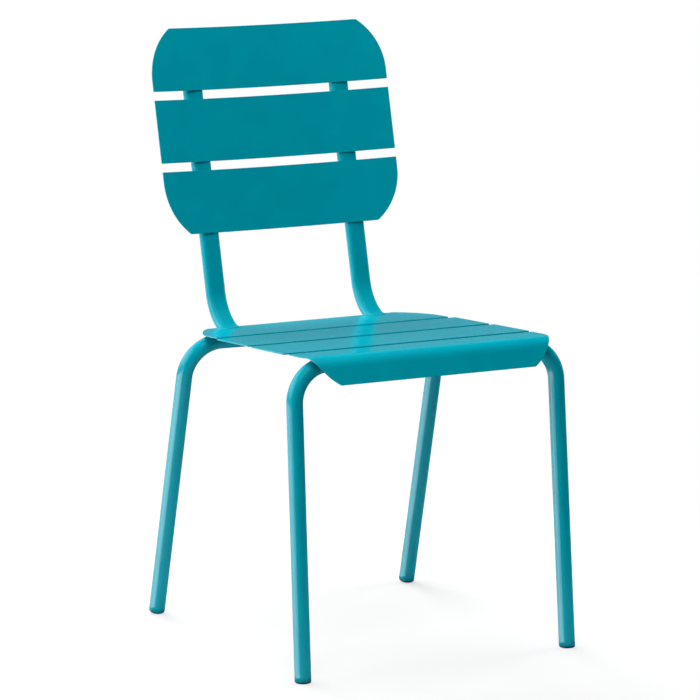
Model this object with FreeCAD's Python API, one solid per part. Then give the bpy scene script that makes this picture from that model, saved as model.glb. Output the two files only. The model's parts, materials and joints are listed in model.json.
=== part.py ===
import FreeCAD, Part
import math
import os

# Stacking garden chair: a welded frame of bent steel tube that carries three curved
# back slats and four flat seat slats of sheet steel.
# Millimetres and degrees. X points to the sitter's left, Y to the rear and Z up. Left and
# right in names are as seen from the front. The origin is on the floor, in the middle of
# the overall box of the chair.

# Sheet and tube sizes
sheet_thickness = 1.5
leg_tube_diameter = 23.0
leg_tube_wall = 1.5
rail_tube_width = 30.0
rail_tube_depth = 15.0
rail_tube_wall = 1.5

# Seat
seat_height = 436.4
seat_slope = 3.0
seat_rear_edge = 173.0
seat_slat_gap = 12.4
rear_slat_depth = 101.0
second_slat_depth = 97.0
third_slat_depth = 97.0
rear_slat_width = 379.0
second_slat_width = 390.0
third_slat_width = 393.0
front_slat_width = 389.0
rear_corner_radius = 130.0
rear_corner_inset = 35.0

# Front slat, which bends down into an apron
front_flat_depth = 44.5
apron_bend_radius = 24.5
apron_bend_angle = 66.5
apron_straight = 25.5
apron_corner_radius = 75.0
apron_corner_inset = 40.5

# Back
back_edge_height = 557.0
back_lean = 13.8
back_width = 386.0
back_slat_height = 92.0
back_slat_gap = 12.8
back_plan_radius = 1085.0
blank_overrun = 1.2
back_corner_radius = 95.0
back_corner_inset = 38.4

# Rails and uprights
rail_spacing = 241.0
upright_root = 199.6
upright_bend_radius = 70.0
upright_straight = 14.7
upright_end_margin = 24.0
cope_reach = 6.0
notch_clearance = 0.5

# Legs
knee_spacing = 416.0
front_leg_splay = 4.2
rear_leg_splay = 2.3
front_foot_setback = 232.2
rear_foot_setback = 232.2
front_bar_place = 198.0
leg_bend_radius = 52.0

# Foot glides and end caps
glide_flange = 2.5
glide_plug_length = 18.0
cap_flange = 1.5
cap_plug_length = 14.0
plug_clearance = 0.1

# Weld beads
bead_radius = 2.6
bead_throat = 1.2
rail_bead_length = 26.0
bar_bead_length = 30.0
back_bead_length = 24.0
joint_bead = 2.2
joint_reach = 20.0

# Names and counts that follow from the design
back_slat_names = ("back_slat_bottom", "back_slat_middle", "back_slat_top")
side_signs = {"left": -1.0, "right": 1.0}

reach = 2.0 * (seat_height + back_edge_height)


def leg_radius():
    return leg_tube_diameter / 2.0


def rail_half_depth():
    return rail_tube_depth / 2.0


def rail_flat():
    """Half of the flat side of the oval tube."""
    return (rail_tube_width - rail_tube_depth) / 2.0


def rail_x():
    return rail_spacing / 2.0


def seat_place(shape):
    """Turn a shape drawn flat, with the top of the seat at Z = 0, into its place."""
    shape.rotate(FreeCAD.Vector(0, 0, 0), FreeCAD.Vector(1, 0, 0), -seat_slope)
    shape.translate(FreeCAD.Vector(0, 0, seat_height))
    return shape


def seat_point(x, along, up):
    """World point of a place on the seat: along to the rear, up from its top face."""
    slope = math.radians(seat_slope)
    y = along * math.cos(slope) + up * math.sin(slope)
    z = seat_height - along * math.sin(slope) + up * math.cos(slope)
    return FreeCAD.Vector(x, y, z)


def back_setback():
    """Setback of the back's lower edge, with the back on uprights that rise from their root."""
    lean = math.radians(back_lean)
    root = seat_point(0.0, upright_root, rail_level())
    rise = back_edge_height + upright_offset() * math.sin(lean) - root.z
    return root.y + rise * math.tan(lean) + upright_offset() * math.cos(lean)


def back_place(shape):
    """Turn a shape drawn flat, Y up the back and Z forwards, into its place."""
    shape.rotate(FreeCAD.Vector(0, 0, 0), FreeCAD.Vector(1, 0, 0), 90.0 - back_lean)
    shape.translate(FreeCAD.Vector(0, back_setback(), back_edge_height))
    return shape


def back_point(x, along, forward):
    """World point of a place on the back: along up the lean, forward from its lower edge."""
    lean = math.radians(back_lean)
    y = back_setback() + along * math.sin(lean) - forward * math.cos(lean)
    z = back_edge_height + along * math.cos(lean) + forward * math.sin(lean)
    return FreeCAD.Vector(x, y, z)


def segment(start, end):
    return Part.LineSegment(start, end).toShape()


def arc(start, middle, end):
    return Part.Arc(start, middle, end).toShape()


def box_between(low, high):
    size = high.sub(low)
    return Part.makeBox(size.x, size.y, size.z, low)


def clipped_corner(half_width, edge, inward, radius, inset):
    """Three points of the arc that clips a corner: on the end edge, midway, on the side."""
    depth = math.sqrt(radius ** 2 - (radius - inset) ** 2)
    half_turn = math.asin(depth / radius) / 2.0
    centre_y = edge + inward * depth
    on_edge = FreeCAD.Vector(half_width - inset, edge, 0)
    midway = FreeCAD.Vector(half_width - radius + radius * math.cos(half_turn),
                            centre_y - inward * radius * math.sin(half_turn), 0)
    on_side = FreeCAD.Vector(half_width, centre_y, 0)
    return on_edge, midway, on_side


def outline_face(width, low, high, low_corner=None, high_corner=None):
    """Flat outline, symmetric about Y; a corner is (radius, inset) or None for square."""
    half_width = width / 2.0
    low_side = FreeCAD.Vector(half_width, low, 0)
    low_edge = low_side
    high_side = FreeCAD.Vector(half_width, high, 0)
    high_edge = high_side
    right = []
    if low_corner:
        low_edge, middle, low_side = clipped_corner(half_width, low, 1.0, *low_corner)
        right.append(arc(low_edge, middle, low_side))
    if high_corner:
        high_edge, middle, high_side = clipped_corner(half_width, high, -1.0, *high_corner)
        right.append(arc(high_side, middle, high_edge))
    right.append(segment(low_side, high_side))
    axis = FreeCAD.Vector(1, 0, 0)
    left = [edge.mirror(FreeCAD.Vector(0, 0, 0), axis) for edge in right]
    ends = [segment(FreeCAD.Vector(-point.x, point.y, 0), point) for point in (low_edge, high_edge)]
    return Part.Face(Part.Wire(Part.sortEdges(right + left + ends)[0]))


def oval_wire(half_flat, radius):
    """Flat oval in the XY plane, its long side along X."""
    corners = [FreeCAD.Vector(sx * half_flat, sy * radius, 0)
               for sx, sy in ((-1, -1), (1, -1), (1, 1), (-1, 1))]
    end_x = half_flat + radius
    return Part.Wire([
        segment(corners[0], corners[1]),
        arc(corners[1], FreeCAD.Vector(end_x, 0, 0), corners[2]),
        segment(corners[2], corners[3]),
        arc(corners[3], FreeCAD.Vector(-end_x, 0, 0), corners[0])])


def rounded_path(points, radius):
    """Wire through the points with an arc of the radius at each inner one."""
    edges = []
    start = points[0]
    for before, corner, after in zip(points, points[1:], points[2:]):
        incoming = corner.sub(before).normalize()
        outgoing = after.sub(corner).normalize()
        turn = incoming.getAngle(outgoing)
        cut = radius * math.tan(turn / 2.0)
        arc_start = corner.sub(incoming.multiply(cut))
        arc_end = corner.add(outgoing.multiply(cut))
        chord = arc_start.add(arc_end).multiply(0.5)
        towards = corner.sub(chord).normalize()
        middle = chord.add(towards.multiply(radius * (1.0 - math.cos(turn / 2.0))))
        edges.append(segment(start, arc_start))
        edges.append(arc(arc_start, middle, arc_end))
        start = arc_end
    edges.append(segment(start, points[-1]))
    return Part.Wire(edges)


def swept(path, profile):
    return path.makePipeShell([profile], True, False)


def round_sweep(path, radius):
    """Solid of a round section along a path."""
    first = path.Edges[0]
    tangent = first.tangentAt(first.FirstParameter)
    circle = Part.makeCircle(radius, first.valueAt(first.FirstParameter), tangent)
    return swept(path, Part.Wire([circle]))


def oval_sweep(path, radius_cut=0.0):
    """Solid of the rail's flat oval along a path that lies across X."""
    profile = oval_wire(rail_flat(), rail_half_depth() - radius_cut)
    first = path.Edges[0]
    tangent = first.tangentAt(first.FirstParameter)
    turn = FreeCAD.Rotation(FreeCAD.Vector(1, 0, 0), FreeCAD.Vector(), tangent, "ZXY")
    profile.Placement = FreeCAD.Placement(first.valueAt(first.FirstParameter), turn)
    return swept(path, profile)


# Seat slats

def slat_edges():
    """Front and rear places of the seat slats, from the rear slat forwards."""
    places = []
    rear = seat_rear_edge
    for depth in (rear_slat_depth, second_slat_depth, third_slat_depth):
        places.append((rear - depth, rear))
        rear = rear - depth - seat_slat_gap
    places.append((rear - front_flat_depth, rear))
    return places


def flat_slat(width, place, rear_corner=None):
    """One flat seat slat, drawn under Z = 0."""
    face = outline_face(width, place[0], place[1], None, rear_corner)
    return face.extrude(FreeCAD.Vector(0, 0, -sheet_thickness))


def apron_profile(start, rear):
    """Side outline of the front slat: flat top, bend and sloping apron."""
    turn = math.radians(apron_bend_angle)
    inner_radius = apron_bend_radius - sheet_thickness
    hub = FreeCAD.Vector(0, start, -apron_bend_radius)

    def around(radius, angle):
        return hub.add(FreeCAD.Vector(0, -radius * math.sin(angle), radius * math.cos(angle)))

    run = FreeCAD.Vector(0, -math.cos(turn), -math.sin(turn)).multiply(apron_straight)
    outer = [around(apron_bend_radius, angle) for angle in (0.0, turn / 2.0, turn)]
    inner = [around(inner_radius, angle) for angle in (0.0, turn / 2.0, turn)]
    outer_end = outer[2].add(run)
    inner_end = inner[2].add(run)
    rear_top = FreeCAD.Vector(0, rear, 0)
    rear_low = FreeCAD.Vector(0, rear, -sheet_thickness)
    edges = [segment(rear_top, outer[0]), arc(*outer), segment(outer[2], outer_end),
             segment(outer_end, inner_end), segment(inner_end, inner[2]),
             arc(inner[2], inner[1], inner[0]), segment(inner[0], rear_low),
             segment(rear_low, rear_top)]
    return Part.Face(Part.Wire(edges)), outer_end


def front_slat():
    """The front slat, its ends clipped by arcs as seen square to the middle of the bend."""
    start, rear = slat_edges()[3]
    half_width = front_slat_width / 2.0
    face, outer_end = apron_profile(start, rear)
    face.translate(FreeCAD.Vector(-half_width, 0, 0))
    sheet = face.extrude(FreeCAD.Vector(front_slat_width, 0, 0))
    # The outline lies in a plane that leans with half of the bend.
    lean = apron_bend_angle / 2.0
    half = math.radians(lean)
    low = outer_end.y * math.cos(half) + outer_end.z * math.sin(half)
    outline = outline_face(front_slat_width, low, low + reach,
                           (apron_corner_radius, apron_corner_inset), None)
    outline.translate(FreeCAD.Vector(0, 0, -reach))
    cutter = outline.extrude(FreeCAD.Vector(0, 0, 2.0 * reach))
    cutter.rotate(FreeCAD.Vector(0, 0, 0), FreeCAD.Vector(1, 0, 0), lean)
    return sheet.common(cutter)


def notch_box(side, top, end):
    """Room that the upright takes in the rear slat, from the start of its bend."""
    half_width = rail_tube_width / 2.0 + notch_clearance
    low = FreeCAD.Vector(side * rail_x() - half_width, upright_bend_start(), -sheet_thickness)
    return box_between(low, FreeCAD.Vector(side * rail_x() + half_width, end, top))


def seat_slats():
    """All seat slats, drawn flat."""
    places = slat_edges()
    rear = flat_slat(rear_slat_width, places[0], (rear_corner_radius, rear_corner_inset))
    for side in side_signs.values():
        rear = rear.cut(notch_box(side, sheet_thickness, 2.0 * seat_rear_edge))
    return {
        "seat_slat_rear": rear,
        "seat_slat_second": flat_slat(second_slat_width, places[1]),
        "seat_slat_third": flat_slat(third_slat_width, places[2]),
        "seat_slat_front": front_slat()}


# Back slats

def back_height():
    count = len(back_slat_names)
    return count * back_slat_height + (count - 1) * back_slat_gap


def curved_band(low, high):
    """Sheet bent round the sitter, between two heights, wider than the outline that trims it."""
    outer_radius = back_plan_radius + sheet_thickness
    turn = blank_overrun * math.asin(back_width / 2.0 / back_plan_radius)

    def around(radius, angle):
        return FreeCAD.Vector(radius * math.sin(angle), low,
                              back_plan_radius - radius * math.cos(angle))

    front = [around(back_plan_radius, angle) for angle in (-turn, 0.0, turn)]
    rear = [around(outer_radius, angle) for angle in (turn, 0.0, -turn)]
    edges = [arc(*front), segment(front[2], rear[0]), arc(*rear), segment(rear[2], front[0])]
    return Part.Face(Part.Wire(edges)).extrude(FreeCAD.Vector(0, high - low, 0))


def back_slats():
    """The three back slats, drawn flat, cut from one outline with clipped corners."""
    corner = (back_corner_radius, back_corner_inset)
    outline = outline_face(back_width, 0.0, back_height(), corner, corner)
    outline.translate(FreeCAD.Vector(0, 0, -back_width))
    prism = outline.extrude(FreeCAD.Vector(0, 0, 2.0 * back_width))
    slats = {}
    for index, name in enumerate(back_slat_names):
        low = index * (back_slat_height + back_slat_gap)
        slats[name] = curved_band(low, low + back_slat_height).common(prism)
    return slats


# Rails and uprights

def rail_level():
    """Depth of the rail's centre line under the top of the seat."""
    return -(sheet_thickness + rail_half_depth())


def bar_level():
    """Depth of a crossbar's centre line under the top of the seat."""
    return -(sheet_thickness + leg_radius())


def upright_offset():
    """Forward place of the upright's centre line, with its inner edge touching the slats."""
    touch_x = rail_x() - rail_flat()
    distance = back_plan_radius + sheet_thickness + rail_half_depth()
    return back_plan_radius - math.sqrt(distance ** 2 - touch_x ** 2)


def upright_bend_start():
    """Place along the seat where the upright begins to bend up."""
    turn = math.radians(90.0 - back_lean + seat_slope)
    return upright_root - upright_bend_radius * math.tan(turn / 2.0)


def rear_bar_place():
    """Place along the seat of the rear crossbar, ahead of the bends of the uprights."""
    return upright_bend_start() - upright_straight


def upright_path(x, start):
    """Centre line of an upright from a place along the seat to its top end."""
    top = back_point(x, back_height() - upright_end_margin, upright_offset())
    root = seat_point(x, upright_root, rail_level())
    return rounded_path([seat_point(x, start, rail_level()), root, top], upright_bend_radius)


def bar_solid(place, radius):
    """Round bar across the seat, long enough to cut the rails."""
    start = seat_point(-rail_spacing, place, bar_level())
    return Part.makeCylinder(radius, 2.0 * rail_spacing, start, FreeCAD.Vector(1, 0, 0))


def oval_tube(path, cutters):
    """Flat oval tube along a path, coped where the cutters pass."""
    tube = oval_sweep(path).cut(oval_sweep(path, rail_tube_wall))
    for cutter in cutters:
        tube = tube.cut(cutter)
    return tube


def rail_path(x):
    """Centre line of a rail, its ends inside the crossbars."""
    start = seat_point(x, cope_reach - front_bar_place, rail_level())
    end = seat_point(x, rear_bar_place() - cope_reach, rail_level())
    return Part.Wire([segment(start, end)])


def seat_rail(x):
    """Straight rail between the two crossbars."""
    cutters = [bar_solid(-front_bar_place, leg_radius()), bar_solid(rear_bar_place(), leg_radius())]
    return oval_tube(rail_path(x), cutters)


def back_upright(x):
    """Tube that leaves the rear crossbar, bends up and carries the back slats."""
    path = upright_path(x, rear_bar_place() + cope_reach)
    return oval_tube(path, [bar_solid(rear_bar_place(), leg_radius())])


def upright_cap(x):
    """Plug that closes the top of an upright."""
    end = back_height() - upright_end_margin
    lean = math.radians(back_lean)
    up = FreeCAD.Vector(0, math.sin(lean), math.cos(lean))
    bottom = back_point(x, end - cap_plug_length, upright_offset())
    seat = back_point(x, end, upright_offset())
    top = seat.add(FreeCAD.Vector(up).multiply(cap_flange))
    plug = oval_sweep(Part.Wire([segment(bottom, seat)]), rail_tube_wall + plug_clearance)
    flange = oval_sweep(Part.Wire([segment(seat, top)]))
    return flange.fuse(plug).removeSplitter()


# Legs

def foot_point(side, splay, setback):
    """Middle of a foot on the floor, further out than the knee above it by the splay."""
    return FreeCAD.Vector(side * (knee_spacing / 2.0 + splay), setback, 0)


def leg_line_end(side, splay, setback, place):
    """Point of the leg's axis a little below the floor, so that the cut is clean."""
    foot = foot_point(side, splay, setback)
    knee = seat_point(side * knee_spacing / 2.0, place, bar_level())
    return foot.sub(knee.sub(foot).normalize().multiply(leg_tube_diameter))


def arch_path(splay, setback, place):
    """Centre line of a leg arch: leg, crossbar under the seat, leg."""
    knees = [seat_point(side * knee_spacing / 2.0, place, bar_level()) for side in (-1.0, 1.0)]
    ends = [leg_line_end(side, splay, setback, place) for side in (-1.0, 1.0)]
    return rounded_path([ends[0], knees[0], knees[1], ends[1]], leg_bend_radius)


def leg_arch(splay, setback, place):
    """One bent tube, its ends cut level on top of the glides."""
    path = arch_path(splay, setback, place)
    tube = round_sweep(path, leg_radius()).cut(round_sweep(path, leg_radius() - leg_tube_wall))
    below = box_between(FreeCAD.Vector(-reach, -reach, -reach),
                        FreeCAD.Vector(reach, reach, glide_flange))
    return tube.cut(below)


def foot_glide(side, splay, setback, place):
    """Plastic glide: a plug inside the tube and a flange that the leg stands on."""
    start = leg_line_end(side, splay, setback, place)
    axis = foot_point(side, splay, setback).sub(start).normalize()
    length = leg_tube_diameter + glide_flange + glide_plug_length
    plug_radius = leg_radius() - leg_tube_wall - plug_clearance
    plug = Part.makeCylinder(plug_radius, length, start, axis)
    disc = Part.makeCylinder(leg_radius(), length, start, axis)
    low = FreeCAD.Vector(-reach, -reach, 0)
    disc = disc.common(box_between(low, FreeCAD.Vector(reach, reach, glide_flange)))
    plug = plug.common(box_between(low, FreeCAD.Vector(reach, reach, reach)))
    return disc.fuse(plug).removeSplitter()


# Weld beads

def under_seat():
    """All the space under the sheet of the seat."""
    low = FreeCAD.Vector(-reach, -reach, -reach)
    return seat_place(box_between(low, FreeCAD.Vector(reach, reach, -sheet_thickness)))


def rail_welds(side, rail):
    """Beads in the corners between a rail and the slats that it carries."""
    level = -(sheet_thickness + bead_throat)
    offset = rail_flat() + 2.0 * math.sqrt(rail_half_depth() * bead_throat)
    beads = []
    for low, high in slat_edges()[:3]:
        middle = (low + min(high, rear_bar_place() - leg_radius())) / 2.0
        for edge in (-1.0, 1.0):
            start = FreeCAD.Vector(side * rail_x() + edge * offset, middle - rail_bead_length / 2.0, level)
            bead = Part.makeCylinder(bead_radius, rail_bead_length, start, FreeCAD.Vector(0, 1, 0))
            beads.append(seat_place(bead).common(under_seat()).cut(rail))
    return beads


def bar_welds(place, slat):
    """Beads in the corners between a crossbar and the slat on it."""
    level = -(sheet_thickness + bead_throat)
    offset = 2.0 * math.sqrt(leg_radius() * bead_throat)
    bar = bar_solid(place, leg_radius())
    beads = []
    for centre in (-rail_x() / 2.0, rail_x() / 2.0):
        for edge in (-1.0, 1.0):
            start = FreeCAD.Vector(centre - bar_bead_length / 2.0, place + edge * offset, level)
            bead = Part.makeCylinder(bead_radius, bar_bead_length, start, FreeCAD.Vector(1, 0, 0))
            beads.append(seat_place(bead).common(under_seat()).cut(bar).cut(slat))
    return beads


def back_bead_place(edge):
    """Across and forward place of a bead in the wedge between an upright and the slats."""
    hub_x = rail_x() + edge * rail_flat()
    hub_z = upright_offset() - back_plan_radius
    far = back_plan_radius + sheet_thickness + bead_throat
    near = rail_half_depth() + bead_throat
    distance = math.hypot(hub_x, hub_z)
    along = (distance ** 2 + far ** 2 - near ** 2) / (2.0 * distance)
    across = math.sqrt(far ** 2 - along ** 2)
    x = (hub_x * along - edge * hub_z * across) / distance
    z = (hub_z * along + edge * hub_x * across) / distance
    return x, z + back_plan_radius


def back_welds(side, upright):
    """Beads in the corners between an upright and the back slats."""
    hub = FreeCAD.Vector(0, 0, back_plan_radius)
    filled_back = Part.makeCylinder(back_plan_radius + sheet_thickness, back_height(), hub,
                                    FreeCAD.Vector(0, 1, 0))
    beads = []
    for index in range(len(back_slat_names)):
        low = index * (back_slat_height + back_slat_gap)
        start_y = low + (back_slat_height - back_bead_length) / 2.0
        for edge in (-1.0, 1.0):
            x, z = back_bead_place(edge)
            start = FreeCAD.Vector(side * x, start_y, z)
            bead = Part.makeCylinder(bead_radius, back_bead_length, start, FreeCAD.Vector(0, 1, 0))
            beads.append(back_place(bead.cut(filled_back)).cut(upright))
    return beads


def joint_weld(x, place, start, end, tubes):
    """Fillet of weld round a flat oval tube where it meets a crossbar."""
    path = Part.Wire([segment(seat_point(x, start, rail_level()), seat_point(x, end, rail_level()))])
    ring = oval_sweep(path, -joint_bead).common(bar_solid(place, leg_radius() + joint_bead))
    ring = ring.cut(bar_solid(place, leg_radius())).common(under_seat())
    for tube in tubes:
        ring = ring.cut(tube)
    return ring


def notch_fill(side, upright):
    """Weld metal that fills a notch of the rear slat, flush with its top."""
    return seat_place(notch_box(side, 0.0, seat_rear_edge)).cut(upright)


def weld_beads(slats):
    """All weld beads, one group for each family of joints."""
    rail = []
    back = []
    joints = []
    fills = []
    rear_bar = rear_bar_place()
    for side in side_signs.values():
        x = side * rail_x()
        rail_tube = oval_sweep(rail_path(x))
        upright_tube = oval_sweep(upright_path(x, rear_bar))
        rail += rail_welds(side, rail_tube)
        back += back_welds(side, upright_tube)
        fills.append(notch_fill(side, upright_tube))
        joints.append(joint_weld(x, -front_bar_place, -front_bar_place,
                                 cope_reach + joint_reach - front_bar_place, [rail_tube]))
        joints.append(joint_weld(x, rear_bar, rear_bar - joint_reach, rear_bar, [rail_tube]))
        joints.append(joint_weld(x, rear_bar, rear_bar, rear_bar + joint_reach, [upright_tube]))
    bars = bar_welds(rear_bar, slats["seat_slat_rear"])
    bars += bar_welds(-front_bar_place, slats["seat_slat_front"])
    groups = {"seat_rail_welds": rail, "crossbar_welds": bars, "back_slat_welds": back,
              "frame_joint_welds": joints, "upright_notch_welds": fills}
    return {name: Part.makeCompound(solids) for name, solids in groups.items()}


def settle(parts):
    """Move everything so that the origin is on the floor, in the middle of the overall box."""
    box = Part.makeCompound(list(parts.values())).optimalBoundingBox(False)
    shift = FreeCAD.Vector(-(box.XMin + box.XMax) / 2.0, -(box.YMin + box.YMax) / 2.0, -box.ZMin)
    for shape in parts.values():
        shape.translate(shift)


def main():
    slats = {name: seat_place(solid) for name, solid in seat_slats().items()}
    parts = dict(slats)
    for name, solid in back_slats().items():
        parts[name] = back_place(solid)
    front = (front_leg_splay, -front_foot_setback, -front_bar_place)
    rear = (rear_leg_splay, rear_foot_setback, rear_bar_place())
    parts["front_leg_arch"] = leg_arch(*front)
    parts["rear_leg_arch"] = leg_arch(*rear)
    for name, side in side_signs.items():
        parts["seat_rail_" + name] = seat_rail(side * rail_x())
        parts["back_upright_" + name] = back_upright(side * rail_x())
        parts["upright_cap_" + name] = upright_cap(side * rail_x())
        parts["front_glide_" + name] = foot_glide(side, *front)
        parts["rear_glide_" + name] = foot_glide(side, *rear)
    parts.update(weld_beads(slats))
    settle(parts)
    os.makedirs("parts", exist_ok=True)
    for name, shape in parts.items():
        if not shape.isValid():
            raise ValueError(name + " is not a valid solid")
        shape.exportStep("parts/" + name + ".step")


main()
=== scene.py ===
import json
import math

import bpy
import numpy as np
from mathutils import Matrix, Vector


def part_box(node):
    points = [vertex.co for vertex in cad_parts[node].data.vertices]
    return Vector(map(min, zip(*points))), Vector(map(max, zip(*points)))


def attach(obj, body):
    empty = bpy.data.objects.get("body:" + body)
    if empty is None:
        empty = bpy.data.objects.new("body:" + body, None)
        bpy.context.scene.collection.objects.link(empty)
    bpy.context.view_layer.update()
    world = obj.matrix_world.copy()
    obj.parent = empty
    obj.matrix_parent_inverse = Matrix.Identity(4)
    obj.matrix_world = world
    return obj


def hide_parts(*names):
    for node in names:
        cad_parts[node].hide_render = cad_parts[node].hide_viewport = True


bl_info = {
    "name": "Stacking garden chair",
    "version": (1, 0, 0),
    "blender": (4, 5, 0),
    "location": "3D View > Sidebar > Chair",
    "description": "Dresses a welded garden chair in teal powder coat and sets it in a plain studio",
    "category": "Object",
}

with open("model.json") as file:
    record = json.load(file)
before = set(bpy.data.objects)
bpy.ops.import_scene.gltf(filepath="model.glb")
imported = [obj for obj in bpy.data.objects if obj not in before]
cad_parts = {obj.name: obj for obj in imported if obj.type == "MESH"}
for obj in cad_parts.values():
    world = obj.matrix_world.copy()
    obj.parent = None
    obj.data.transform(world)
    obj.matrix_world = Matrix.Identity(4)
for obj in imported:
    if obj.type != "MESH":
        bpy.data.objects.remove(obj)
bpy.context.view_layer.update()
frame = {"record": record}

MM = 0.001
ACROSS = np.array([1.0, 0.0, 0.0])
SIDES = {"left": -1.0, "right": 1.0}
ENDS = ("front", "rear")
LEVEL_FEET = ("front",)
FLAT_SLATS = ("seat_slat_rear", "seat_slat_second", "seat_slat_third")
BACK_SLATS = ("back_slat_bottom", "back_slat_middle", "back_slat_top")

# Each finish's material and its slot
COAT = ("satin_teal_powder_coat_over_steel", "powder_coat")
PLASTIC = ("moulded_black_polyethylene", "black_plastic")

# Distance between two rings of a straight tube
TUBE_STEP = 8 * MM

# Weld beads: their lengths, each upright's side of the chair with each side of its tube, and
# from which ways oval tubes meet each crossbar
RAIL_BEAD = 26 * MM
BAR_BEAD = 30 * MM
BACK_BEAD = 24 * MM
BEAD_SIDES = [(side, edge) for side in SIDES.values() for edge in (-1.0, 1.0)]
JOINT_WAYS = {"front": (1.0,), "rear": (-1.0, 1.0)}
STEPS_PER_RIPPLE = 6.0
BEAD_END = 0.98
BEAD_CORNERS = 12

# Bead in the rear slat's notches: the upright's turn at which it has surely left the slat, the
# share of a radius that it lies below the slat's top, and its radius as a share of a joint bead
NOTCH_TURN = math.radians(40.0)
NOTCH_SINK = 0.2
NOTCH_SHARE = 0.8

# Finishes: limits of the noise that spread its effect, and how much the gloss wanders
POLYMER_IOR = 1.5
MOTTLE_LIMITS = {"From Min": 0.35, "From Max": 0.65}
GLOSS_LIMITS = {"From Min": 0.3, "From Max": 0.7}
GLOSS_SPREAD = 0.02
GRAIN_TONES = {"To Min": 0.8, "To Max": 1.2}

# Studio, in metres and degrees, with the camera's sensor in millimetres. A softbox has its
# turn from the front towards the left, its height and its distance. A part of the room has
# its turns from straight behind towards the right, its heights and the softness of its edges.
SENSOR_WIDTH = 36.0
FLOOR_PAINT = "matt_white_floor_paint"
FLOOR_MARGIN = 1.2
FADE_START = 0.7
LAMP_AIM = Vector((0.0, 0.0, 0.45))
SOFTBOX_WIDTH = 2.0
SOFTBOXES = {
    "top": (0.0, 88.0, 3.0),
    "front": (30.0, 50.0, 4.0),
    "left": (95.0, 15.0, 4.0),
    "right": (265.0, 15.0, 4.0),
    "rear_left": (140.0, 15.0, 4.0),
    "rear_right": (220.0, 15.0, 4.0),
    "rear_high": (180.0, 45.0, 4.0),
}
ROOM_PARTS = {
    "backdrop_light": ((0, 42), (-8, 40), 4),
    "board_light": ((-112, -52), (-32, -7), 1),
    "board_end_light": ((-52, -10), (-32, -7), 1),
    "side_card_light": ((-100, -15), (9, 45), 5),
}


# Helpers for sizes, colours and nodes

def length(name, millimetres, description):
    """A length property whose default is given in millimetres."""
    return bpy.props.FloatProperty(name=name, description=description, default=millimetres * MM,
                                   min=0.0, precision=5, unit="LENGTH")


def angle(name, degrees, description):
    """An angle property whose default is given in degrees."""
    return bpy.props.FloatProperty(name=name, description=description,
                                   default=math.radians(degrees), subtype="ANGLE")


def share(name, value, description):
    """A plain number between nought and one."""
    return bpy.props.FloatProperty(name=name, description=description, default=value,
                                   min=0.0, max=1.0, subtype="FACTOR")


def strength(name, value, description):
    """Brightness of a light or a background, where one is white."""
    return bpy.props.FloatProperty(name=name, description=description, default=value, min=0.0)


def linear_colour(code):
    """Linear red, green and blue of an sRGB hex code such as #0093A5."""
    encoded = np.array([int(code[start:start + 2], 16) / 255.0 for start in (1, 3, 5)])
    low = encoded / 12.92
    high = ((encoded + 0.055) / 1.055) ** 2.4
    return tuple(np.where(encoded <= 0.04045, low, high))


def colour(name, code, description):
    """A colour property whose default is an sRGB hex code."""
    return bpy.props.FloatVectorProperty(name=name, description=description, size=3, min=0.0,
                                         max=1.0, default=linear_colour(code), subtype="COLOR")


def grey(level):
    """Opaque neutral colour of a linear level."""
    return (level, level, level, 1.0)


def add_node(tree, kind, links=None, values=None, **settings):
    """Add a node, set its attributes and socket values, and link sources to its sockets."""
    node = tree.nodes.new(kind)
    for name, setting in settings.items():
        setattr(node, name, setting)
    for socket, value in (values or {}).items():
        node.inputs[socket].default_value = value
    for socket, source in (links or {}).items():
        tree.links.new(source, node.inputs[socket])
    return node


# Sizes, colours and lights that a user may change

class ChairSheet(bpy.types.PropertyGroup):
    """Sizes of the slats, which are cut and bent from sheet steel."""

    thickness: length("Sheet thickness", 1.5, "Thickness of the sheet steel")
    seat_thickness: length("Seat thickness", 2.0, "Thickness of the flat slats with their coat")
    rounding: length("Edge rounding", 0.28, "Radius that the coat gives to the cut edges")
    rear_corner_radius: length("Rear corner radius", 120, "Arc that clips the seat's rear corners")
    rear_corner_inset: length("Rear corner inset", 35, "What that arc takes off the rear edge")
    flat_depth: length("Front flat depth", 44.5, "Flat part of the front slat")
    apron_radius: length("Apron bend radius", 24.5, "Outer radius of the front slat's bend")
    apron_angle: angle("Apron bend angle", 66.5, "Turn of the front slat's bend")
    apron_straight: length("Apron straight", 25.5, "Straight part below the bend")
    apron_corner_radius: length("Apron corner radius", 75, "Arc that clips the apron's corners")
    apron_corner_inset: length("Apron corner inset", 40.5, "What that arc takes off its lower edge")
    back_lean: angle("Back lean", 13.8, "Lean of the back slats from upright")
    back_radius: length("Back plan radius", 1085, "Radius of the slats round the sitter")
    back_slat_height: length("Back slat height", 92, "Height of one back slat")
    back_slat_gap: length("Back slat gap", 12.8, "Gap between two back slats")
    back_corner_radius: length("Back corner radius", 95, "Arc that clips the back's corners")
    back_corner_inset: length("Back corner inset", 38.4, "What that arc takes off the outer edges")


class ChairTube(bpy.types.PropertyGroup):
    """Sizes of the bent tubes."""

    leg_radius: length("Leg tube radius", 11.5, "Outer radius of the leg tube")
    oval_half_depth: length("Oval half depth", 7.5, "Half of the flat oval tube's short side")
    oval_flat: length("Oval half flat", 7.5, "Half of the flat of the oval tube's long side")
    knee_spacing: length("Knee spacing", 416, "Distance between the legs' lines at the crossbar")
    leg_bend_radius: length("Leg bend radius", 52, "Centre line radius of the leg bends")
    upright_bend_radius: length("Upright bend radius", 70, "Centre line radius of the uprights")
    bend_flattening: share("Bend flattening", 0.03, "What bending takes off the tube's depth")
    flattened_run: length("Flattened run", 55, "How far the flattening runs on past a bend")


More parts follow.
